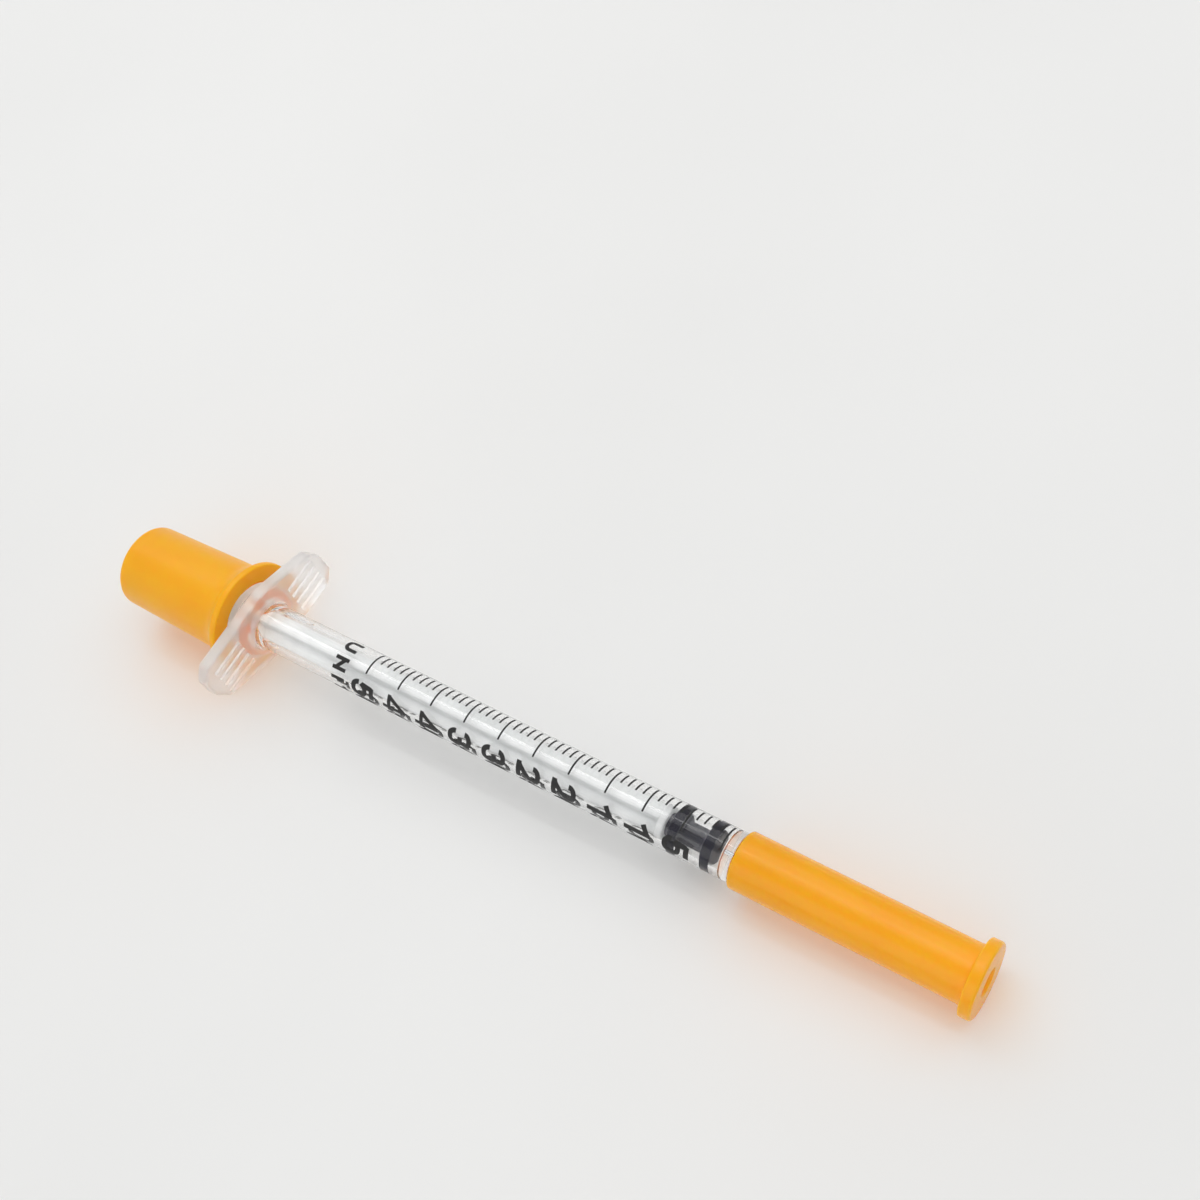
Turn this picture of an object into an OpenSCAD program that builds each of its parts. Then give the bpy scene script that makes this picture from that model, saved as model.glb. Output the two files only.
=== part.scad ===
// Fixed-needle insulin-type syringe, lying on its side with both caps fitted.
//
// Every module is drawn standing, about its own +Z, with z = 0 at the zero graduation and
// +Z towards the needle. lay() turns that onto +X and lifts it so that the plunger cap's
// lip, the widest round part, stands on z = 0. The origin is the middle of the overall
// length at the bottom. The flange is long across Y.

/* [Barrel] */
// Full-scale volume in cubic millimetres (microlitres)
capacity_mm3 = 500; // [460:10:540]
// Bore of the tube
bore_d = 3.78; // [3.7:0.02:3.9]
// Outside diameter of the tube
tube_d = 5.3; // [5.2:0.05:5.6]
// End of the bore, in front of the zero graduation
bore_front = 0.3; // [0.28:0.02:0.9]
// Shoulder where the tube steps down to the shield's seat
tube_front = 1.5; // [1.4:0.05:1.6]
// Tube between the last graduation and the flange's front face
tail_l = 15.9; // [14:0.1:18]

/* [Finger flange] */
// Length across the fingers
flange_l = 20.2; // [18:0.1:22]
// Height between the two flat edges
flange_h = 9.1; // [8.6:0.1:9.6]
// Thickness
flange_t = 1.55; // [1.4:0.05:2]
// Distance from the middle to where a long bevel starts
bevel_start = 1.8; // [1.4:0.1:2.4]
// Height of the long bevel's outer end above the axis
bevel_end = 1.8; // [1.4:0.1:2.2]
// Grip ribs on each wing
grip_ribs = 4; // [2:1:4]
// Height of a grip rib
grip_h = 0.35; // [0.2:0.05:0.5]
// Diameter of the collar behind the flange
collar_d = 8.6; // [8:0.1:8.6]
// Length of that collar
collar_l = 1.2; // [0.8:0.1:1.5]

/* [Hub and needle] */
// Diameter of the cylinder that the shield grips
seat_d = 4.52; // [4.4:0.02:4.6]
// Length of that cylinder
seat_l = 3.2; // [2.6:0.1:4]
// Distance from the zero graduation to the hub's tip
hub_tip = 8.6; // [8:0.1:9.5]
// Outside diameter of the needle
needle_d = 0.33; // [0.3:0.01:0.4]
// Bore of the needle
lumen_d = 0.17; // [0.15:0.01:0.2]
// Needle standing out of the hub
needle_l = 12.7; // [12:0.1:13.5]
// Angle between the needle's bevel and its axis
bevel_angle = 14; // [12:1:20]
// Diameter of the adhesive's well in the hub's tip
well_d = 1.2; // [1:0.05:1.4]
// Depth of the well
well_l = 1.3; // [1:0.1:1.6]

/* [Print] */
// Units over the full scale
scale_units = 50; // [30:5:50]
// Width of a graduation line
line_w = 0.2; // [0.12:0.01:0.22]
// Thickness of the ink
ink_t = 0.03; // [0.02:0.01:0.05]
// Where every line starts, in degrees up from the +Y side
line_start = 35; // [30:1:50]
// Where a one-unit line ends
short_end = 70; // [65:1:90]
// Where a five-unit line ends
long_end = 107; // [100:1:125]

/* [Plunger] */
// Sealing edge of the stopper, behind the zero graduation
parked = 0.8; // [0.8:0.05:1]
// Clearance of the stopper's ribs in the bore, across the diameter
rib_play = 0.04; // [0.03:0.01:0.06]
// Width of a sealing rib
rib_w = 1.15; // [1:0.05:1.3]
// Length between the outer edges of the two ribs
rib_span = 5.1; // [4.8:0.1:5.4]
// Diameter of the stopper's waist
waist_d = 2.5; // [2.4:0.05:2.8]
// Height of the nose in front of the sealing edge
nose_l = 0.2; // [0.1:0.05:0.25]
// Skirt behind the rear rib
skirt_l = 0.6; // [0.5:0.1:0.8]
// Width of the rod's cross section
web_w = 3.3; // [3:0.1:3.4]
// Thickness of a web
web_t = 0.85; // [0.7:0.05:1]
// Diameter of the thumb disc
thumb_d = 8; // [7.8:0.05:8.05]
// Thickness of the thumb disc
thumb_t = 1.3; // [1:0.1:1.6]

/* [Plunger cap] */
// Outside diameter at the closed end
cap_end_d = 9.8; // [9.7:0.05:10]
// Outside diameter where the lip begins to flare
cap_mouth_d = 10.6; // [10.4:0.05:11]
// Outside diameter of the lip
lip_d = 13.1; // [12.6:0.1:13.6]
// Overall length
cap_l = 17.1; // [16.5:0.1:18]
// Wall
cap_wall = 0.85; // [0.8:0.05:0.9]
// Gap between the lip and the flange
lip_gap = 0.9; // [0.9:0.05:1.2]

/* [Needle shield] */
// Outside diameter at the mouth
shield_d = 6.12; // [6:0.02:6.4]
// Outside diameter at the closed end
shield_end_d = 6.04; // [5.9:0.02:6.1]
// Overall length
shield_l = 25.8; // [24.5:0.1:28]
// Clearance of the mouth on its seat, across the diameter
seat_play = 0.08; // [0.04:0.01:0.12]
// Diameter of the rim round the closed end
rim_d = 7.9; // [7.4:0.1:8.4]
// Thickness of the rim
rim_t = 1.3; // [1:0.1:1.6]

/* [Hidden] */
$fn = 72;
eps = 0.05;

// stations along the axis, from the zero graduation
scale_l = capacity_mm3 / (PI / 4 * bore_d * bore_d);
pitch = scale_l / scale_units;
flange_front = -scale_l - tail_l;
flange_rear = flange_front - flange_t;
collar_rear = flange_rear - collar_l;
seat_front = tube_front + seat_l;
well_floor = hub_tip - well_l;
needle_tip = hub_tip + needle_l;
stopper_rear = -parked - rib_span - skirt_l;
cap_lip = flange_rear - lip_gap;
cap_end = cap_lip - cap_l;
cap_floor = cap_end + 1;
thumb_rear = cap_floor + 1.2;
thumb_front = thumb_rear + thumb_t;
shield_mouth = tube_front + 0.13;
shield_end = shield_mouth + shield_l;
shield_floor = shield_end - 1;

axis_h = lip_d / 2;
mid_x = (cap_end + shield_end) / 2;

module lay() {
    translate([-mid_x, 0, axis_h]) rotate([0, 90, 0]) children();
}

// ring of one graduation's ink from the line's start to its end, in degrees up from +Y
module ink_line(z, end) {
    translate([0, 0, z]) rotate([0, 0, 90 + line_start])
        rotate_extrude(angle = end - line_start)
            translate([tube_d / 2, -line_w / 2]) square([ink_t, line_w]);
}

// half of the flange's edge; the other half is the same turned by 180 degrees.
// x points down and y along the flange
function half_edge(s) = [
    [s * flange_h / 2, s * (flange_l / 2 - 1.3)],
    [s * 3, s * flange_l / 2],
    [s * 0.4, s * flange_l / 2],
    [-s * bevel_end, s * (flange_l / 2 - 1.1)],
    [-s * flange_h / 2, s * bevel_start]
];

module flange() {
    translate([0, 0, flange_rear]) linear_extrude(flange_t)
        polygon(concat(half_edge(1), half_edge(-1)));
    for (side = [-1, 1], i = [0:grip_ribs - 1])
        translate([side * (i * 1.35 - 1.1) - 0.25, side > 0 ? 4.2 : -8.6, flange_front - eps])
            cube([0.5, 4.4, grip_h + eps]);
}

module hub() {
    translate([0, 0, tube_front - eps]) cylinder(d = seat_d, h = seat_l + eps);
    translate([0, 0, seat_front - eps])
        cylinder(d1 = 3, d2 = 2.2, h = hub_tip - seat_front + eps);
    for (a = [0, 90])
        rotate([0, 0, a]) rotate([90, 0, 0]) translate([0, 0, -0.3]) linear_extrude(0.6)
            polygon([[-2.05, seat_front - eps], [2.05, seat_front - eps],
                     [1.35, hub_tip - 1.4], [-1.35, hub_tip - 1.4]]);
}

module barrel() {
    color([0.9, 0.93, 0.94, 0.4]) lay() difference() {
        union() {
            translate([0, 0, flange_rear])
                cylinder(d = tube_d, h = tube_front - flange_rear);
            translate([0, 0, collar_rear]) cylinder(d = collar_d, h = collar_l + eps);
            translate([0, 0, flange_front - eps])
                cylinder(d1 = tube_d + 1.6, d2 = tube_d, h = 1.6);
            flange();
            hub();
        }
        translate([0, 0, collar_rear - 1]) cylinder(d = bore_d, h = bore_front - collar_rear + 1);
        translate([0, 0, collar_rear - eps])
            cylinder(d1 = bore_d + 1.2, d2 = bore_d, h = 0.8);
        cylinder(d = needle_d, h = hub_tip);
        translate([0, 0, well_floor]) cylinder(d = well_d, h = well_l + 1);
    }
}

module scale_print() {
    color([0.05, 0.05, 0.06]) lay() for (i = [0:scale_units])
        ink_line(-i * pitch, i % 5 == 0 ? long_end : short_end);
}

module needle_cannula() {
    color([0.75, 0.76, 0.78]) lay() difference() {
        translate([0, 0, bore_front]) cylinder(d = needle_d, h = needle_tip - bore_front);
        translate([0, 0, bore_front - 1])
            cylinder(d = lumen_d, h = needle_tip - bore_front + 2);
        translate([-needle_d / 2, 0, needle_tip]) rotate([0, -bevel_angle, 0])
            translate([0, -1, -4]) cube([3, 2, 6]);
    }
}

module needle_adhesive() {
    color([0.85, 0.83, 0.7]) lay() difference() {
        union() {
            translate([0, 0, well_floor]) cylinder(d = well_d, h = well_l);
            translate([0, 0, hub_tip]) cylinder(d1 = well_d, d2 = 0.5, h = 0.35);
        }
        translate([0, 0, well_floor - 1]) cylinder(d = needle_d, h = well_l + 3);
    }
}

// neck and head that the stopper is pushed over, grown by gap for the stopper's socket
module barb(gap) {
    translate([0, 0, stopper_rear - eps]) cylinder(d = 1.1 + 2 * gap, h = 1.8 + eps);
    translate([0, 0, stopper_rear + 1.5])
        cylinder(d1 = 1.6 + 2 * gap, d2 = 0.7 + 2 * gap, h = 1.5 + gap);
}

module plunger_rod() {
    disc_t = 0.8;
    color([0.93, 0.94, 0.94]) lay() union() {
        translate([0, 0, thumb_rear]) cylinder(d = thumb_d, h = thumb_t);
        translate([0, 0, thumb_front - eps]) cylinder(d1 = 4.6, d2 = web_t, h = 1.2);
        for (a = [0, 90]) rotate([0, 0, a])
            translate([-web_w / 2, -web_t / 2, thumb_front - eps])
                cube([web_w, web_t, stopper_rear - disc_t - thumb_front + 2 * eps]);
        translate([0, 0, stopper_rear - disc_t])
            cylinder(d = bore_d - 0.16, h = disc_t);
        barb(0);
    }
}

module stopper() {
    front = -parked;
    rear_rib = front - rib_span;
    seal_r = (bore_d - rib_play) / 2;
    waist_r = waist_d / 2;
    color([0.1, 0.1, 0.12]) lay() difference() {
        rotate_extrude() polygon([
            [0, stopper_rear], [waist_r, stopper_rear], [waist_r, rear_rib - 0.15],
            [seal_r - 0.15, rear_rib], [seal_r, rear_rib + 0.2],
            [seal_r, rear_rib + rib_w - 0.2], [seal_r - 0.15, rear_rib + rib_w],
            [waist_r, rear_rib + rib_w + 0.25], [waist_r, front - rib_w - 0.25],
            [seal_r - 0.15, front - rib_w], [seal_r, front - rib_w + 0.2],
            [seal_r, front - 0.15], [seal_r - 0.15, front],
            [0.7, front + nose_l], [0, front + nose_l]]);
        barb(0.02);
    }
}

module plunger_cap() {
    end_r = cap_end_d / 2;
    mouth_r = cap_mouth_d / 2;
    lip_r = lip_d / 2;
    grip_r = end_r - cap_wall;
    flare = cap_lip - 2.6;
    color([0.96, 0.68, 0.12]) lay() rotate_extrude() polygon([
        [0, cap_end], [end_r - 0.6, cap_end], [end_r - 0.18, cap_end + 0.18], [end_r, cap_end + 0.6],
        [mouth_r, flare], [mouth_r + 0.2, flare + 0.7], [mouth_r + 0.85, flare + 1.5],
        [lip_r - 0.1, flare + 1.9], [lip_r, flare + 2.05], [lip_r, cap_lip - 0.2],
        [lip_r - 0.2, cap_lip], [mouth_r - cap_wall + 0.2, cap_lip],
        [mouth_r - cap_wall, cap_lip - 0.2], [mouth_r - cap_wall, flare],
        [grip_r, thumb_front + 1.2], [grip_r, cap_floor], [0, cap_floor]]);
}

module needle_shield() {
    mouth_r = shield_d / 2;
    end_r = shield_end_d / 2;
    rim_r = rim_d / 2;
    seat_r = (seat_d + seat_play) / 2;
    color([0.96, 0.62, 0.12]) lay() rotate_extrude() polygon([
        [seat_r, shield_mouth], [mouth_r - 0.12, shield_mouth], [mouth_r, shield_mouth + 0.12],
        [end_r, shield_end - rim_t - 0.4], [end_r + 0.3, shield_end - rim_t],
        [rim_r - 0.2, shield_end - rim_t], [rim_r, shield_end - rim_t + 0.2],
        [rim_r, shield_end - 0.3], [rim_r - 0.3, shield_end], [0, shield_end],
        [0, shield_floor], [1.5, shield_floor], [2.15, seat_front + 1], [seat_r, seat_front + 0.2]]);
}

barrel();
scale_print();
needle_cannula();
needle_adhesive();
plunger_rod();
stopper();
plunger_cap();
needle_shield();
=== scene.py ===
import math

import bmesh
import bpy
from mathutils import Matrix, Vector
from mathutils.geometry import delaunay_2d_cdt


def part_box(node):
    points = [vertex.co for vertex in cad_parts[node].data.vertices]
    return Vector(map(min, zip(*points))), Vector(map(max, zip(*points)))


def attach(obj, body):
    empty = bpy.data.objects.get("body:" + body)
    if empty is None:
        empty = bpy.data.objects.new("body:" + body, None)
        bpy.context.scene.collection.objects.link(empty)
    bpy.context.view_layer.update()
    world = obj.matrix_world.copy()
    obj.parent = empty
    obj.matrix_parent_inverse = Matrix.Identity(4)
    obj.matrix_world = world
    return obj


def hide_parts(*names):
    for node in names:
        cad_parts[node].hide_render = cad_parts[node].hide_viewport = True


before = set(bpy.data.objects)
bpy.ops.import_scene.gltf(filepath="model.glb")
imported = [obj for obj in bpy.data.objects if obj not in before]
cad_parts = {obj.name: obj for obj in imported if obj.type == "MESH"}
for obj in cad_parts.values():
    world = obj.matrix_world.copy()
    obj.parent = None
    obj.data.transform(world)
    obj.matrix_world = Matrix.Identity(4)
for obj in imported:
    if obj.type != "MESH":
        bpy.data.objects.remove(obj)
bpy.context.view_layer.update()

MM = 0.001

# ---- sizes that the nodes' boxes don't give ----
LINE_W = 0.2 * MM
INK_T = 0.03 * MM
COLLAR_R, COLLAR_L = 4.3 * MM, 1.2 * MM
FLANGE_T = 1.55 * MM
BEVEL_START, BEVEL_END = 1.8 * MM, 1.8 * MM
RIB_PITCH, RIB_W, RIB_H = 1.35 * MM, 0.5 * MM, 0.35 * MM
SEAT_R, SEAT_L = 2.26 * MM, 3.2 * MM
WELL_R, WELL_L = 0.6 * MM, 1.3 * MM
WEB_W, WEB_T = 3.3 * MM, 0.85 * MM
THUMB_T = 1.3 * MM
DISC_T = 0.8 * MM
WAIST_R = 1.25 * MM
STOPPER_RIB_W = 1.15 * MM
SKIRT_L, NOSE_L = 0.6 * MM, 0.2 * MM
SQUEEZE = 0.01 * MM
CAP_END_R, CAP_MOUTH_R, CAP_WALL = 4.9 * MM, 5.3 * MM, 0.85 * MM
FLARE_L = 2.6 * MM
SHIELD_R, SHIELD_END_R, RIM_T = 3.06 * MM, 3.02 * MM, 1.3 * MM
NEEDLE_BORE_R = 0.085 * MM
BEVEL_ANGLE = math.radians(14)
FIN_L = 1.4 * MM
PLAY = 0.02 * MM
WALL_END = 1 * MM
SHARP_ANGLE = math.radians(32)

# ---- places, read from the frame ----
BARREL_LO, BARREL_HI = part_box("barrel")
PRINT_LO, PRINT_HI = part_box("scale_print")
STOPPER_LO, STOPPER_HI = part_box("stopper")
ROD_LO, ROD_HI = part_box("plunger_rod")
CAP_LO, CAP_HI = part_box("plunger_cap")
SHIELD_LO, SHIELD_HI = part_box("needle_shield")
NEEDLE_LO, NEEDLE_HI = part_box("needle_cannula")
GLUE_LO, GLUE_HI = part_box("needle_adhesive")

AXIS_Z = (CAP_LO.z + CAP_HI.z) / 2
ZERO_X = PRINT_HI.x - LINE_W / 2
FULL_X = PRINT_LO.x + LINE_W / 2
TUBE_R = PRINT_HI.z - AXIS_Z - INK_T
BORE_R = STOPPER_HI.y + PLAY
FLANGE_L, FLANGE_H = BARREL_HI.y, BARREL_HI.z - AXIS_Z
COLLAR_REAR = BARREL_LO.x
FLANGE_REAR = COLLAR_REAR + COLLAR_L
FLANGE_FRONT = FLANGE_REAR + FLANGE_T
BORE_FRONT = NEEDLE_LO.x
HUB_TIP = BARREL_HI.x
TUBE_FRONT = SHIELD_LO.x - 0.13 * MM
SEAT_FRONT = TUBE_FRONT + SEAT_L
NEEDLE_R = NEEDLE_HI.y
LIP_R = CAP_HI.y
RIM_R = SHIELD_HI.y

# ---- the print ----
UNITS = 50
INK_SUNK = 0.01 * MM
NUMERAL_H, NUMERAL_W, NUMERAL_PEN, NUMERAL_GAP = 3.05 * MM, 2.1 * MM, 0.58 * MM, 0.3 * MM
NUMERAL_START = 126
FOUR_PEN = 0.78
LEGEND_H, LEGEND_PEN, LEGEND_GAP = 1.8 * MM, 0.44 * MM, 0.8 * MM
LEGEND_START = 39
LEGEND_BACK = 3.5 * MM


# ---- light and table ----
SKY_HORIZON, SKY_ZENITH, SKY_SEEN = 0.52, 0.54, 0.86
KEY_WATTS = 2.2
FILL_WATTS = 1.2
STRIP_WATTS = 0.35
FLOOR_R = 0.55
LIGHT_BOUNCES = 24


# ---- outlines and lofts ----
def turned(start, end, centre, step=11):
    """Points of the shorter arc from start to end about centre, step degrees apart or less."""
    a = math.atan2(*reversed(start - centre))
    b = math.atan2(*reversed(end - centre))
    sweep = (b - a + math.pi) % (2 * math.pi) - math.pi
    count = max(2, math.ceil(abs(math.degrees(sweep)) / step))
    radius = (start - centre).length
    angles = [a + sweep * i / count for i in range(count + 1)]
    return [centre + radius * Vector((math.cos(t), math.sin(t))) for t in angles]


def rounded(corners, closed=False):
    """Outline through (a, b, radius) corners, each corner turned on its radius."""
    places = [Vector(c[:2]) for c in corners]
    points = []
    for i, (here, corner) in enumerate(zip(places, corners)):
        at_end = not closed and i in (0, len(corners) - 1)
        if at_end or corner[2] == 0:
            points.append(here)
            continue
        back = (places[i - 1] - here).normalized()
        ahead = (places[(i + 1) % len(places)] - here).normalized()
        half = back.angle(ahead) / 2
        reach = corner[2] / math.tan(half)
        centre = here + (back + ahead).normalized() * corner[2] / math.sin(half)
        points += turned(here + back * reach, here + ahead * reach, centre)
    return points


def spread(outline, step):
    """A closed outline with points added, so that none are step degrees apart from the axis."""
    points = []
    for i, here in enumerate(outline):
        after = outline[(i + 1) % len(outline)]
        count = math.ceil(math.degrees(here.angle(after)) / step)
        points += [here.lerp(after, k / count) for k in range(count)]
    return points


def bearings(outline):
    return [math.atan2(p.y, p.x) for p in outline]


def ring(x, radius, angles):
    """Ring of points about the axis. radius is a length, or a function of the bearing."""
    reach = radius if callable(radius) else lambda t: radius
    return [Vector((x, reach(t) * math.cos(t), AXIS_Z + reach(t) * math.sin(t))) for t in angles]


def loft(name, rings, closed=False):
    """Mesh object through rings of equal length. A ring of one point closes an end."""
    bm = bmesh.new()
    rows = [[bm.verts.new(p) for p in r] for r in rings]
    pairs = list(zip(rows, rows[1:]))
    if closed:
        pairs.append((rows[-1], rows[0]))
    for low, high in pairs:
        count = max(len(low), len(high))
        for i in range(count):
            j = (i + 1) % count
            corners = [low[i % len(low)], low[j % len(low)], high[j % len(high)], high[i % len(high)]]
            bm.faces.new(list(dict.fromkeys(corners)))
    bmesh.ops.recalc_face_normals(bm, faces=bm.faces)
    return to_object(name, bm)


def to_object(name, bm):
    mesh = bpy.data.meshes.new(name)
    bm.to_mesh(mesh)
    bm.free()
    mesh.shade_smooth()
    mesh.set_sharp_from_angle(angle=SHARP_ANGLE)
    obj = bpy.data.objects.new(name, mesh)
    bpy.context.scene.collection.objects.link(obj)
    return obj


ROUND = [math.radians(2.5 * i) for i in range(144)]


def lathe(name, outline, closed=False):
    """Body of revolution from an (x, radius) outline. A radius of 0 becomes a pole."""
    rings = [ring(x, r, ROUND) if r > 0 else [Vector((x, 0, AXIS_Z))] for x, r in outline]
    return loft(name, rings, closed)


def applied(obj):
    """obj's mesh with its modifiers applied, which are then removed."""
    seen = obj.evaluated_get(bpy.context.evaluated_depsgraph_get())
    mesh = bpy.data.meshes.new_from_object(seen)
    obj.modifiers.clear()
    obj.data = mesh
    return obj


# ---- materials ----
def shader(name, **values):
    made = bpy.data.materials.new(name)
    made.use_nodes = True
    bsdf = made.node_tree.nodes["Principled BSDF"]
    for key, value in values.items():
        bsdf.inputs[key.replace("_", " ")].default_value = value
    return made


def noise(made, scale, stretch=(1, 1, 1), detail=3, rough=0.5):
    """Noise over the object, scale cycles a metre, stretched along the axis by its first number."""
    nodes, links = made.node_tree.nodes, made.node_tree.links
    place = nodes.new("ShaderNodeTexCoord")
    mapping = nodes.new("ShaderNodeMapping")
    mapping.inputs["Scale"].default_value = stretch
    links.new(place.outputs["Object"], mapping.inputs["Vector"])
    field = nodes.new("ShaderNodeTexNoise")
    field.inputs["Scale"].default_value = scale
    field.inputs["Detail"].default_value = detail
    field.inputs["Roughness"].default_value = rough
    links.new(mapping.outputs["Vector"], field.inputs["Vector"])
    return field.outputs["Fac"]


def vary(made, fac, socket, low, high):
    """Drives one of the shader's number sockets from low to high by fac."""
    nodes, links = made.node_tree.nodes, made.node_tree.links
    spread_over = nodes.new("ShaderNodeMapRange")
    spread_over.inputs["From Min"].default_value = 0.3
    spread_over.inputs["From Max"].default_value = 0.7
    spread_over.inputs["To Min"].default_value = low
    spread_over.inputs["To Max"].default_value = high
    links.new(fac, spread_over.inputs["Value"])
    links.new(spread_over.outputs["Result"], nodes["Principled BSDF"].inputs[socket])


def tint(made, fac, low, high):
    """Base colour that wanders between low and high."""
    nodes, links = made.node_tree.nodes, made.node_tree.links
    ramp = nodes.new("ShaderNodeValToRGB")
    ramp.color_ramp.elements[0].position = 0.35
    ramp.color_ramp.elements[1].position = 0.65
    ramp.color_ramp.elements[0].color = (*low, 1)
    ramp.color_ramp.elements[1].color = (*high, 1)
    links.new(fac, ramp.inputs["Fac"])
    links.new(ramp.outputs["Color"], nodes["Principled BSDF"].inputs["Base Color"])


def bump(made, fields):
    """Surface relief from (fac, height in metres) pairs."""
    nodes, links = made.node_tree.nodes, made.node_tree.links
    normal = None
    for fac, height in fields:
        relief = nodes.new("ShaderNodeBump")
        relief.inputs["Strength"].default_value = 1
        relief.inputs["Distance"].default_value = height
        links.new(fac, relief.inputs["Height"])
        if normal is not None:
            links.new(normal, relief.inputs["Normal"])
        normal = relief.outputs["Normal"]
    links.new(normal, nodes["Principled BSDF"].inputs["Normal"])


def let_lamps_through(made, colour):
    """Lets lamps shine through the plastic, tinted by colour at each surface that they cross."""
    nodes, links = made.node_tree.nodes, made.node_tree.links
    path = nodes.new("ShaderNodeLightPath")
    glow = nodes.new("ShaderNodeBsdfTransparent")
    glow.inputs["Color"].default_value = (*colour, 1)
    either = nodes.new("ShaderNodeMixShader")
    links.new(path.outputs["Is Shadow Ray"], either.inputs[0])
    links.new(nodes["Principled BSDF"].outputs["BSDF"], either.inputs[1])
    links.new(glow.outputs["BSDF"], either.inputs[2])
    links.new(either.outputs["Shader"], nodes["Material Output"].inputs["Surface"])


def clear_plastic():
    made = shader("clear_plastic", IOR=1.49, Transmission_Weight=1.0)
    tint(made, noise(made, 300), (0.985, 0.99, 0.99), (1, 1, 1))
    vary(made, noise(made, 400, (0.2, 1, 1)), "Roughness", 0.03, 0.08)
    bump(made, [(noise(made, 260, (0.15, 1, 1)), 0.00002)])
    return made


def frosted_plastic():
    made = shader("frosted_plastic", IOR=1.49, Transmission_Weight=0.88)
    tint(made, noise(made, 500), (0.95, 0.955, 0.96), (1, 1, 1))
    vary(made, noise(made, 900), "Roughness", 0.34, 0.42)
    bump(made, [(noise(made, 700), 0.000001)])
    return made


def orange_plastic(name, low, high, smooth, rough):
    made = shader(
        name, IOR=1.49, Specular_IOR_Level=0.35, Subsurface_Weight=0.9, Subsurface_Scale=0.0016,
        Subsurface_Radius=(1.0, 0.45, 0.05),
    )
    tint(made, noise(made, 220, (0.4, 1, 1)), low, high)
    vary(made, noise(made, 1500), "Roughness", smooth, rough)
    bump(made, [(noise(made, 7000, detail=2), 0.000001), (noise(made, 240, (0.12, 1, 1)), 0.000015)])
    let_lamps_through(made, (0.98, 0.74, 0.45))
    return made


def white_plastic():
    made = shader(
        "white_plastic", IOR=1.49, Subsurface_Weight=1.0, Subsurface_Scale=0.002,
        Subsurface_Radius=(1.0, 1.0, 1.0),
    )
    tint(made, noise(made, 400), (0.66, 0.67, 0.67), (0.73, 0.74, 0.74))
    vary(made, noise(made, 1200), "Roughness", 0.3, 0.45)
    bump(made, [(noise(made, 6000, detail=2), 0.000008)])
    let_lamps_through(made, (0.86, 0.86, 0.86))
    return made


def black_rubber():
    made = shader("black_rubber", IOR=1.5, Specular_IOR_Level=0.12)
    tint(made, noise(made, 900), (0.005, 0.0045, 0.012), (0.011, 0.01, 0.024))
    vary(made, noise(made, 2500), "Roughness", 0.35, 0.55)
    bump(made, [(noise(made, 9000, detail=4), 0.000015)])
    return made


def black_ink():
    made = shader("black_ink", IOR=1.45)
    tint(made, noise(made, 6000), (0.006, 0.006, 0.007), (0.014, 0.013, 0.013))
    vary(made, noise(made, 5000), "Roughness", 0.35, 0.6)
    bump(made, [(noise(made, 15000, detail=2), 0.000004)])
    return made


def drawn_steel():
    made = shader("needle_steel", Metallic=1.0)
    tint(made, noise(made, 3000, (0.02, 1, 1)), (0.52, 0.53, 0.55), (0.7, 0.71, 0.72))
    vary(made, noise(made, 4000, (0.02, 1, 1)), "Roughness", 0.16, 0.3)
    bump(made, [(noise(made, 20000, (0.02, 1, 1)), 0.000003)])
    return made


def cured_resin():
    made = shader("adhesive_resin", IOR=1.53, Transmission_Weight=0.7)
    tint(made, noise(made, 1500), (0.9, 0.85, 0.66), (0.96, 0.92, 0.78))
    vary(made, noise(made, 2500), "Roughness", 0.08, 0.2)
    bump(made, [(noise(made, 2000), 0.00002)])
    return made


# ---- the barrel ----
def flange_outline():
    """Corners of the flange, (y, z) from the axis: two long bevels at opposite corners."""
    half = [
        (FLANGE_L - 1.3 * MM, -FLANGE_H, 0.9 * MM),
        (FLANGE_L, -3 * MM, 0.9 * MM),
        (FLANGE_L, -0.4 * MM, 0.9 * MM),
        (FLANGE_L - 1.1 * MM, BEVEL_END, 0.9 * MM),
        (BEVEL_START, FLANGE_H, 4 * MM),
    ]
    return rounded(half + [(-y, -z, r) for y, z, r in half], closed=True)


def flange_rings(outline):
    """Rings over the flange's edge, from its rear face to its front face, edges turned."""
    ease = 0.28 * MM
    count = len(outline)
    normals = []
    for i in range(count):
        along = outline[(i + 1) % count] - outline[i - 1]
        normals.append(Vector((along.y, -along.x)).normalized())
    turn = [math.radians(15 * k) for k in range(7)]
    stations = [(FLANGE_REAR + ease * (1 - math.sin(t)), ease * (1 - math.cos(t))) for t in reversed(turn)]
    stations += [(FLANGE_FRONT - ease * (1 - math.sin(t)), ease * (1 - math.cos(t))) for t in turn]
    hold = 0.34 * MM
    stations = [(FLANGE_REAR, hold), *stations, (FLANGE_FRONT, hold)]
    rings = []
    for x, inset in stations:
        points = [p - n * inset for p, n in zip(outline, normals)]
        rings.append([Vector((x, p.x, AXIS_Z + p.y)) for p in points])
    return rings


def hub_reach(x):
    """Radius of the hub's cone with its four fins, as a function of the bearing."""
    root, taper = 1.5, 0.4  # in millimetres
    part = (x - SEAT_FRONT) / (HUB_TIP - SEAT_FRONT)
    cone = (root - taper * part) * MM
    fins_end = HUB_TIP - FIN_L
    fin = 2.05 * MM - 0.7 * MM * (x - SEAT_FRONT) / (fins_end - SEAT_FRONT)
    fin = max(cone, fin if x < fins_end else cone)

    def reach(bearing):
        across = abs(math.sin(2 * bearing)) / 2 * fin
        return cone + (fin - cone) * max(0, min(1, (0.42 * MM - across) / (0.14 * MM)))

    return reach


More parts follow.
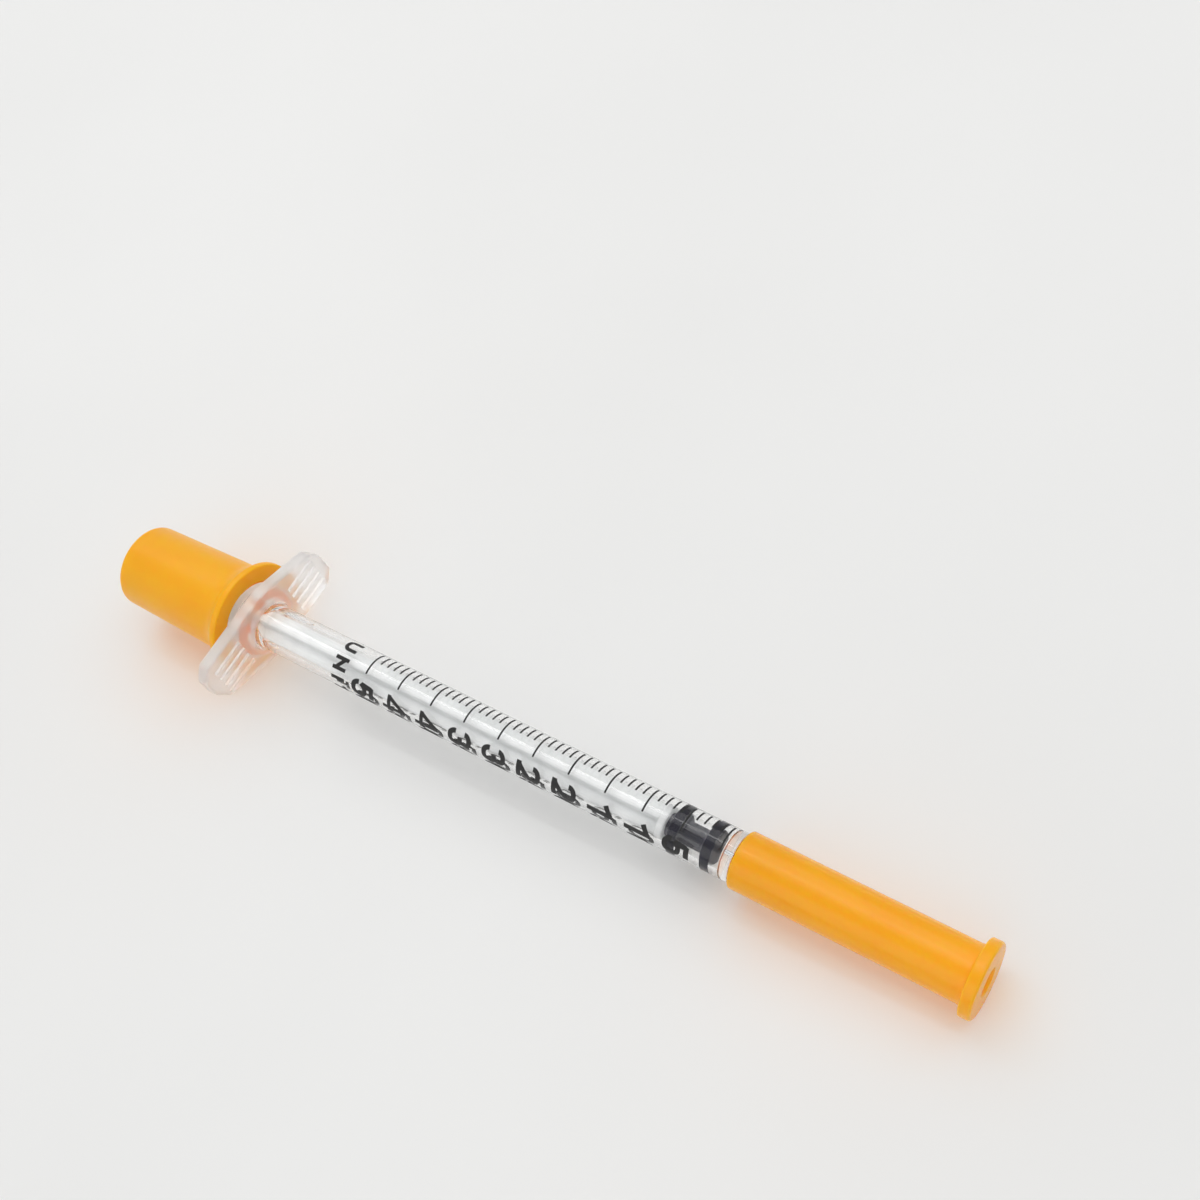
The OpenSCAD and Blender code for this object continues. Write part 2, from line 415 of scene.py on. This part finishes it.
def grip_rib(wing, height):
    """One rib on the flange's front face, sunk a little into it for the union."""
    bm = bmesh.new()
    bmesh.ops.create_cube(bm, size=1)
    sunk = 0.2 * MM
    size = (RIB_H + sunk, 4.4 * MM, RIB_W)
    centre = (FLANGE_FRONT + (RIB_H - sunk) / 2, wing * 6.4 * MM, AXIS_Z + height)
    bmesh.ops.transform(bm, matrix=Matrix.Translation(centre) @ Matrix.Diagonal((*size, 1)), verts=bm.verts)
    top = [e for e in bm.edges if all(v.co.x > FLANGE_FRONT for v in e.verts)]
    bmesh.ops.bevel(bm, geom=top, offset=0.16 * MM, segments=4, profile=0.5, affect="EDGES")
    return bm


def make_barrel():
    outline = spread(flange_outline(), 2)
    angles = bearings(outline)
    rear = rounded([
        (COLLAR_REAR, BORE_R + 0.6 * MM, 0), (COLLAR_REAR, COLLAR_R, 0.25 * MM),
        (FLANGE_REAR, COLLAR_R, 0.15 * MM), (FLANGE_REAR, COLLAR_R + 0.25 * MM, 0),
    ])
    front = rounded([
        (FLANGE_FRONT, TUBE_R + 1.5 * MM, 0), (FLANGE_FRONT, TUBE_R, 1.2 * MM),
        (TUBE_FRONT, TUBE_R, 0.15 * MM), (TUBE_FRONT, SEAT_R, 0.04 * MM),
        (SEAT_FRONT, SEAT_R, 0.12 * MM), (SEAT_FRONT, 2.1 * MM, 0),
    ])
    tip = rounded([
        (HUB_TIP - 0.4 * MM, 1.14 * MM, 0), (HUB_TIP, 1.1 * MM, 0.2 * MM),
        (HUB_TIP, WELL_R, 0.08 * MM), (HUB_TIP - WELL_L, WELL_R, 0.1 * MM),
        (HUB_TIP - WELL_L, NEEDLE_R, 0), (BORE_FRONT, NEEDLE_R, 0),
        (BORE_FRONT, BORE_R, 0.2 * MM), (COLLAR_REAR + 0.75 * MM, BORE_R, 0.5 * MM),
    ])
    hub = [SEAT_FRONT + (HUB_TIP - FIN_L - SEAT_FRONT) * k / 6 for k in range(7)]
    hub += [HUB_TIP - 1.2 * MM, HUB_TIP - 0.8 * MM]
    rings = [ring(x, r, angles) for x, r in rear]
    rings += flange_rings(outline)
    rings += [ring(x, r, angles) for x, r in front]
    rings += [ring(x, hub_reach(x), angles) for x in hub]
    rings += [ring(x, r, angles) for x, r in tip]
    barrel = loft("barrel_body", rings, closed=True)

    for wing in (-1, 1):
        for i in range(4):
            rib = to_object("grip_rib", grip_rib(wing, -wing * (RIB_PITCH * i - 1.1 * MM)))
            join = barrel.modifiers.new("join", "BOOLEAN")
            join.operation = "UNION"
            join.solver = "EXACT"
            join.object = rib
            applied(barrel)
            bpy.data.objects.remove(rib)
    barrel.data.shade_smooth()
    barrel.data.set_sharp_from_angle(angle=SHARP_ANGLE)
    flat = barrel.modifiers.new("flat", "WEIGHTED_NORMAL")
    flat.weight = 90
    flat.keep_sharp = True
    applied(barrel)
    barrel.data.materials.clear()
    barrel.data.materials.append(clear_plastic())
    barrel.data.materials.append(frosted_plastic())
    for face in barrel.data.polygons:
        off_axis = math.hypot(face.center.y, face.center.z - AXIS_Z)
        in_flange = face.center.x < FLANGE_FRONT + 0.5 * MM
        face.material_index = 1 if in_flange and off_axis > TUBE_R else 0
    return barrel


# ---- the print ----
def centre_lines(char, w, h, pen):
    """Centre lines of a character w wide and h high, as corners for rounded()."""
    left, right, low, high = pen / 2, w - pen / 2, pen / 2, h - pen / 2
    bend = 0.4 * (right - left)
    tight = 0.3 * (right - left)
    waist = 0.52 * h
    inner = right - 0.06 * w
    shoulder = 0.6 * h
    stem = 0.66 * w
    post = 0.76 * w
    return {
        "0": [[(w / 2, high, 0), (right, high, bend), (right, low, bend), (w / 2, low, 0)],
              [(w / 2, low, 0), (left, low, bend), (left, high, bend), (w / 2, high, 0)]],
        "1": [[(stem, 0, 0), (stem, h, 0)], [(stem, 0.92 * h, 0), (0.12 * w, 0.7 * h, 0)]],
        "2": [[(left, 0.68 * h, 0), (left, high, bend), (right, high, bend), (right, 0.55 * h, tight),
               (left, low, 0)], [(0, low, 0), (w, low, 0)]],
        "3": [[(left, 0.7 * h, 0), (left, high, bend), (inner, high, bend), (inner, waist, tight),
               (0.42 * w, waist, 0)],
              [(0.42 * w, waist, 0), (right, waist, tight), (right, low, bend), (left, low, bend),
               (left, 0.32 * h, 0)]],
        "4": [[(post, 0, 0), (post, h, 0)], [(0, 0.27 * h, 0), (w, 0.27 * h, 0)],
              [(0.1 * w, 0.27 * h, 0), (post - 0.08 * w, 0.95 * h, 0)]],
        "5": [[(0.17 * w, high, 0), (0.94 * w, high, 0)], [(0.27 * w, high, 0), (0.19 * w, 0.45 * h, 0)],
              [(0.16 * w, 0.42 * h, 0), (0.36 * w, shoulder, 0.3 * bend), (right, shoulder, bend),
               (right, low, bend), (left, low, bend), (left, 0.32 * h, 0)]],
        "U": [[(left, h, 0), (left, low, bend), (right, low, bend), (right, h, 0)]],
        "N": [[(left, 0, 0), (left, h, 0)], [(left, h - pen, 0), (right, pen, 0)],
              [(right, 0, 0), (right, h, 0)]],
        "I": [[(w / 2, 0, 0), (w / 2, h, 0)]],
        "T": [[(0, high, 0), (w, high, 0)], [(w / 2, 0, 0), (w / 2, h, 0)]],
        "S": [[(right, 0.7 * h, 0), (right, high, tight), (left, high, tight), (left, h / 2, tight),
               (right, h / 2, tight), (right, low, tight), (left, low, tight), (left, 0.3 * h, 0)]],
    }[char]


def stroke(path, pen):
    """Outline of a stroke as wide as the pen along path, with square ends."""
    ways = [(b - a).normalized() for a, b in zip(path, path[1:])]
    sides = [[], []]
    for i, here in enumerate(path):
        before, after = ways[max(i - 1, 0)], ways[min(i, len(ways) - 1)]
        across = (before + after).orthogonal().normalized()
        across *= pen / 2 / across.dot(after.orthogonal())
        sides[0].append(here + across)
        sides[1].append(here - across)
    return sides[1] + sides[0][::-1]


def lettering(text, widths, height, pen, gap):
    """Flat solid letters 1 thick: reading direction +X, up +Y, their middle height at 0."""
    points, faces = [], []
    reach = 0
    for char in text:
        nib = pen * FOUR_PEN if char == "4" else pen
        for line in centre_lines(char, widths[char], height, nib):
            outline = stroke(rounded(line), nib)
            faces.append(list(range(len(points), len(points) + len(outline))))
            points += [p / MM + Vector((reach / MM, 0)) for p in outline]
        reach += widths[char] + gap
    merged = delaunay_2d_cdt(points, [], faces, 1, 1e-5)
    bm = bmesh.new()
    verts = [bm.verts.new((p.x * MM, p.y * MM - height / 2, 0)) for p in merged[0]]
    for corners, inside in zip(merged[2], merged[5]):
        if inside:
            bm.faces.new([verts[i] for i in corners])
    bmesh.ops.delete(bm, geom=[v for v in bm.verts if not v.link_faces], context="VERTS")
    raised = bmesh.ops.extrude_face_region(bm, geom=bm.faces[:])["geom"]
    bmesh.ops.translate(bm, vec=(0, 0, 1), verts=[v for v in raised if isinstance(v, bmesh.types.BMVert)])
    return bm


def printed(bm, x, start):
    """Wraps flat letters round the tube: up towards the needle, reading on from bearing start."""
    reach = max(v.co.x for v in bm.verts)
    step = 0.16 * MM
    for i in range(1, math.ceil(reach / step)):
        geom = list(bm.verts) + list(bm.edges) + list(bm.faces)
        bmesh.ops.bisect_plane(bm, geom=geom, plane_co=(i * step, 0, 0), plane_no=(1, 0, 0))
    for v in bm.verts:
        bearing = math.radians(start) + v.co.x / TUBE_R
        radius = TUBE_R - INK_SUNK + v.co.z * (INK_T + INK_SUNK)
        v.co = Vector((x + v.co.y, radius * math.cos(bearing), AXIS_Z + radius * math.sin(bearing)))
    bmesh.ops.recalc_face_normals(bm, faces=bm.faces)


def make_numerals():
    whole = bmesh.new()
    widths = dict.fromkeys("012345", NUMERAL_W)
    for value in range(5, UNITS + 1, 5):
        bm = lettering(str(value), widths, NUMERAL_H, NUMERAL_PEN, NUMERAL_GAP)
        printed(bm, ZERO_X + (FULL_X - ZERO_X) * value / UNITS, NUMERAL_START)
        part = bpy.data.meshes.new("part")
        bm.to_mesh(part)
        bm.free()
        whole.from_mesh(part)
        bpy.data.meshes.remove(part)
    return to_object("scale_numerals", whole)


def make_legend():
    widths = {"U": 1.75 * MM, "N": 1.6 * MM, "I": 0.36 * MM, "T": 1.5 * MM, "S": 1.5 * MM}
    bm = lettering("UNITS", widths, LEGEND_H, LEGEND_PEN, LEGEND_GAP)
    printed(bm, FULL_X - LEGEND_BACK, LEGEND_START)
    return to_object("scale_legend", bm)


# ---- the plunger ----
def make_rod():
    w, t = WEB_W / 2, WEB_T / 2
    arm = [(w, -t, 0.16 * MM), (w, t, 0.16 * MM), (t, t, 0.3 * MM)]
    corners = []
    for k in range(4):
        c, s = round(math.cos(k * math.pi / 2)), round(math.sin(k * math.pi / 2))
        corners += [(c * a - s * b, s * a + c * b, r) for a, b, r in arm]
    cross = spread(rounded(corners, closed=True), 3)
    angles = bearings(cross)
    reach = dict(zip(angles, [p.length for p in cross]))
    thumb_r, thumb_front = ROD_HI.y, ROD_LO.x + THUMB_T
    dished = ROD_LO.x + 0.12 * MM
    socket = STOPPER_LO.x
    rings = [[Vector((dished, 0, AXIS_Z))]]
    dish = [(dished, 0.4 * MM)]
    for k in range(3):
        inner = (1.0 + 0.85 * k) * MM
        dish += rounded([
            (dished, inner - 0.2 * MM, 0), (dished, inner, 0.06 * MM),
            (ROD_LO.x, inner + 0.1 * MM, 0.06 * MM), (ROD_LO.x, inner + 0.35 * MM, 0.06 * MM),
            (dished, inner + 0.45 * MM, 0.06 * MM), (dished, inner + 0.6 * MM, 0),
        ])
    edge = rounded([
        (dished, 3.35 * MM, 0), (ROD_LO.x, 3.5 * MM, 0.1 * MM),
        (ROD_LO.x, thumb_r, 0.3 * MM), (thumb_front, thumb_r, 0.3 * MM), (thumb_front, 2.4 * MM, 0),
    ])
    rings += [ring(x, r, angles) for x, r in dish + edge]
    for k in range(9):
        part = k / 8
        x = thumb_front + 1.4 * MM * part
        skirt = WEB_T / 2 + (2.3 * MM - WEB_T / 2) * (1 - part) ** 2.2
        rings.append(ring(x, lambda a: max(skirt, reach[a]), angles))
    disc_rear = socket - DISC_T
    rings.append(ring(disc_rear - 0.3 * MM, lambda a: reach[a], angles))
    rings.append(ring(disc_rear, lambda a: reach[a] + 0.1 * MM, angles))
    disc = rounded([
        (disc_rear, BORE_R - 0.3 * MM, 0), (disc_rear, BORE_R - 0.08 * MM, 0.12 * MM),
        (socket, BORE_R - 0.08 * MM, 0.12 * MM), (socket, 0.55 * MM, 0),
        (socket + 1.5 * MM, 0.55 * MM, 0), (socket + 1.5 * MM, 0.8 * MM, 0.06 * MM),
        (ROD_HI.x, 0.35 * MM, 0.1 * MM), (ROD_HI.x, 0.1 * MM, 0),
    ])
    rings += [ring(x, r, angles) for x, r in disc]
    rings.append([Vector((ROD_HI.x, 0, AXIS_Z))])
    return loft("plunger_rod_body", rings)


def make_stopper():
    rear, front = STOPPER_LO.x, STOPPER_HI.x - NOSE_L
    seal = BORE_R + SQUEEZE
    rib_rear = rear + SKIRT_L
    ease = 0.16 * MM
    outline = rounded([
        (rear + 3 * MM + PLAY, 0, 0), (rear + 3 * MM + PLAY, 0.36 * MM, 0.1 * MM),
        (rear + 1.5 * MM, 0.8 * MM + PLAY, 0.06 * MM), (rear + 1.5 * MM, 0.55 * MM + PLAY, 0.02 * MM),
        (rear, 0.55 * MM + PLAY, 0.1 * MM), (rear, WAIST_R, 0.1 * MM),
        (rib_rear - 0.15 * MM, WAIST_R, 0.12 * MM),
        (rib_rear, seal, ease), (rib_rear + STOPPER_RIB_W, seal, ease),
        (rib_rear + STOPPER_RIB_W + 0.3 * MM, WAIST_R, 0.3 * MM),
        (front - STOPPER_RIB_W - 0.3 * MM, WAIST_R, 0.3 * MM),
        (front - STOPPER_RIB_W, seal, ease), (front, seal, ease),
        (STOPPER_HI.x, 0.7 * MM, 0.3 * MM), (STOPPER_HI.x, 0, 0),
    ])
    return lathe("stopper_body", outline)


# ---- the two caps ----
def make_plunger_cap():
    rear, lip = CAP_LO.x, CAP_HI.x
    flare = lip - FLARE_L
    floor = rear + WALL_END
    grip_r = CAP_END_R - CAP_WALL
    mouth_r = CAP_MOUTH_R - CAP_WALL
    outline = rounded([
        (rear + 0.25 * MM, 0, 0), (rear + 0.25 * MM, 0.5 * MM, 0.05 * MM),
        (rear + 0.45 * MM, 0.6 * MM, 0.05 * MM), (rear + 0.45 * MM, 1.2 * MM, 0.1 * MM),
        (rear, 1.6 * MM, 0.2 * MM), (rear, CAP_END_R, 0.65 * MM),
        (flare + 0.5 * MM, CAP_MOUTH_R, 3 * MM), (lip - 0.7 * MM, LIP_R, 0.5 * MM),
        (lip, LIP_R, 0.2 * MM), (lip, mouth_r, 0.2 * MM), (flare, mouth_r, 1.2 * MM),
        (rear + 5 * MM, grip_r, 0.8 * MM), (floor, grip_r, 0.4 * MM), (floor, 0, 0),
    ])
    return lathe("plunger_cap_body", outline)


def make_needle_shield():
    mouth, end = SHIELD_LO.x, SHIELD_HI.x
    seat_r = SEAT_R + 0.04 * MM
    neck = end - RIM_T
    outline = rounded([
        (end - 0.3 * MM, 0, 0), (end - 0.3 * MM, 0.45 * MM, 0.05 * MM),
        (end - 0.5 * MM, 0.55 * MM, 0.05 * MM), (end - 0.5 * MM, 1.1 * MM, 0.1 * MM),
        (end, 1.5 * MM, 0.2 * MM), (end, RIM_R, 0.3 * MM),
        (neck, RIM_R, 0.22 * MM), (neck, SHIELD_END_R + 0.1 * MM, 0.28 * MM),
        (neck - 0.6 * MM, SHIELD_END_R, 0.3 * MM), (mouth, SHIELD_R, 0.14 * MM),
        (mouth, seat_r, 0.1 * MM), (SEAT_FRONT + 0.2 * MM, seat_r, 0.1 * MM),
        (SEAT_FRONT + 1 * MM, 2.15 * MM, 0.5 * MM), (end - WALL_END, 1.5 * MM, 0.4 * MM),
        (end - WALL_END, 0, 0),
    ])
    return lathe("needle_shield_body", outline)


# ---- the needle ----
def make_needle():
    def ground(radius):
        """Ring on the bevel's plane, its point at the top."""
        tip = [NEEDLE_HI.x - (NEEDLE_R - radius * math.sin(t)) / math.tan(BEVEL_ANGLE) for t in ROUND]
        return [Vector((x, radius * math.cos(t), AXIS_Z + radius * math.sin(t))) for x, t in zip(tip, ROUND)]

    heel = ring(NEEDLE_HI.x - 2.2 * MM, NEEDLE_R, ROUND)
    rings = [ring(NEEDLE_LO.x, NEEDLE_BORE_R, ROUND), ring(NEEDLE_LO.x, NEEDLE_R, ROUND), heel]
    rings += [ground(NEEDLE_R), ground(NEEDLE_BORE_R)]
    return loft("needle_tube", rings, closed=True)


def make_adhesive():
    outline = rounded([
        (GLUE_LO.x, NEEDLE_R, 0), (GLUE_LO.x, WELL_R - 0.01 * MM, 0.08 * MM),
        (HUB_TIP, WELL_R - 0.01 * MM, 0.02 * MM), (HUB_TIP + 0.12 * MM, 0.48 * MM, 0.2 * MM),
        (GLUE_HI.x, 0.22 * MM, 0.1 * MM), (GLUE_HI.x, NEEDLE_R, 0),
    ])
    return lathe("adhesive_bead", outline, closed=True)


# ---- assembly ----
def place(obj, body, slot, nodes=(), material=None):
    """Finishes a piece: its material, the body it rides on and the CAD node it stands for."""
    if material is not None:
        obj.data.materials.append(material)
    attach(obj, body)
    if nodes:
        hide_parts(*nodes)


INK = black_ink()
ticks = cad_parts["scale_print"]
for held in ticks.material_slots:
    held.material = INK

# Clear plastic would throw a black shadow, so the barrel throws none.
barrel = make_barrel()
barrel.visible_shadow = False
place(barrel, "barrel", "clear_plastic", ["barrel"])
place(make_numerals(), "barrel", "black_ink", material=INK)
place(make_legend(), "barrel", "black_ink", material=INK)
place(make_needle(), "barrel", "needle_steel", ["needle_cannula"], drawn_steel())
place(make_adhesive(), "barrel", "adhesive", ["needle_adhesive"], cured_resin())
place(make_rod(), "plunger", "white_plastic", ["plunger_rod"], white_plastic())
place(make_stopper(), "plunger", "black_rubber", ["stopper"], black_rubber())
ORANGE = orange_plastic("cap_orange", (0.93, 0.4, 0.002), (0.96, 0.44, 0.004), 0.32, 0.42)
place(make_plunger_cap(), "cap", "cap_orange", ["plunger_cap"], ORANGE)
AMBER = orange_plastic("shield_orange", (0.93, 0.39, 0.002), (0.96, 0.43, 0.004), 0.21, 0.27)
place(make_needle_shield(), "shield", "shield_orange", ["needle_shield"], AMBER)


# ---- the stage ----
def make_floor():
    """Pale table, tipped to touch both the cap's lip and the shield's rim."""
    low = Vector((CAP_HI.x - 0.5 * MM, 0, AXIS_Z - LIP_R))
    high = Vector((SHIELD_HI.x - RIM_T / 2, 0, AXIS_Z - RIM_R))
    slope = math.atan2(high.z - low.z, high.x - low.x)
    bm = bmesh.new()
    bmesh.ops.create_circle(bm, cap_ends=True, cap_tris=False, radius=FLOOR_R, segments=96)
    tip = Matrix.Translation(low) @ Matrix.Rotation(-slope, 4, "Y")
    bmesh.ops.transform(bm, matrix=tip, verts=bm.verts)
    floor = to_object("floor", bm)
    made = shader("pale_table", Roughness=0.55, Specular_IOR_Level=0.25)
    tint(made, noise(made, 9), (0.8, 0.8, 0.795), (0.83, 0.83, 0.825))
    floor.data.materials.append(made)


def softbox(name, place_at, target, size, watts, shadow=True):
    data = bpy.data.lights.new(name, "AREA")
    data.shape = "RECTANGLE"
    data.size, data.size_y = size
    data.energy = watts
    data.use_shadow = shadow
    lamp = bpy.data.objects.new(name, data)
    lamp.location = place_at
    lamp.rotation_euler = (Vector(target) - Vector(place_at)).to_track_quat("-Z", "Y").to_euler()
    bpy.context.scene.collection.objects.link(lamp)


def studio_sky():
    """Pale sky. The camera sees one tone of it everywhere."""
    world = bpy.data.worlds.new("studio")
    world.use_nodes = True
    nodes, links = world.node_tree.nodes, world.node_tree.links
    place = nodes.new("ShaderNodeTexCoord")
    height = nodes.new("ShaderNodeSeparateXYZ")
    links.new(place.outputs["Generated"], height.inputs["Vector"])
    glow = nodes.new("ShaderNodeMapRange")
    glow.inputs["From Min"].default_value = 0
    glow.inputs["From Max"].default_value = 0.8
    glow.inputs["To Min"].default_value = SKY_HORIZON
    glow.inputs["To Max"].default_value = SKY_ZENITH
    links.new(height.outputs["Z"], glow.inputs["Value"])
    path = nodes.new("ShaderNodeLightPath")
    seen = nodes.new("ShaderNodeMix")
    links.new(path.outputs["Is Camera Ray"], seen.inputs["Factor"])
    links.new(glow.outputs["Result"], seen.inputs["A"])
    seen.inputs["B"].default_value = SKY_SEEN
    links.new(seen.outputs["Result"], nodes["Background"].inputs["Strength"])
    nodes["Background"].inputs["Color"].default_value = (1, 1, 0.99, 1)
    bpy.context.scene.world = world


make_floor()
MIDDLE = (0, 0, AXIS_Z)
softbox("key_light", (-0.1, 0.28, 0.56), (-0.1, 0, AXIS_Z), (1.1, 0.7), KEY_WATTS)
softbox("fill_light", (-0.05, -0.55, 0.35), MIDDLE, (1, 0.5), FILL_WATTS, shadow=False)
softbox("strip_light", (-0.36, 0.15, 0.46), (-0.36, 0, AXIS_Z), (0.9, 0.035), STRIP_WATTS)
studio_sky()
bpy.context.scene.view_settings.view_transform = "Standard"
bpy.context.scene.cycles.max_bounces = LIGHT_BOUNCES
bpy.context.scene.cycles.transmission_bounces = LIGHT_BOUNCES

# ---- the camera ----
CAMERA_AIM = Vector((-0.5 * MM, 18.9 * MM, AXIS_Z))
CAMERA_DISTANCE = 173.9 * MM
CAMERA_LENS, CAMERA_SENSOR = 47.86, 36
CAMERA_AZIMUTH, CAMERA_ELEVATION, CAMERA_ROLL = (math.radians(a) for a in (53.2, 57.8, 24.9))

camera = bpy.data.objects.new("camera", bpy.data.cameras.new("camera"))
camera.data.sensor_width = CAMERA_SENSOR
camera.data.lens = CAMERA_LENS
camera.data.clip_start = 0.01
forward = Vector((
    -math.sin(CAMERA_AZIMUTH) * math.cos(CAMERA_ELEVATION),
    math.cos(CAMERA_AZIMUTH) * math.cos(CAMERA_ELEVATION),
    -math.sin(CAMERA_ELEVATION),
))
camera.location = CAMERA_AIM - forward * CAMERA_DISTANCE
turn = forward.to_track_quat("-Z", "Y").to_matrix().to_4x4() @ Matrix.Rotation(-CAMERA_ROLL, 4, "Z")
camera.rotation_euler = turn.to_euler()
bpy.context.scene.collection.objects.link(camera)
bpy.context.scene.camera = camera
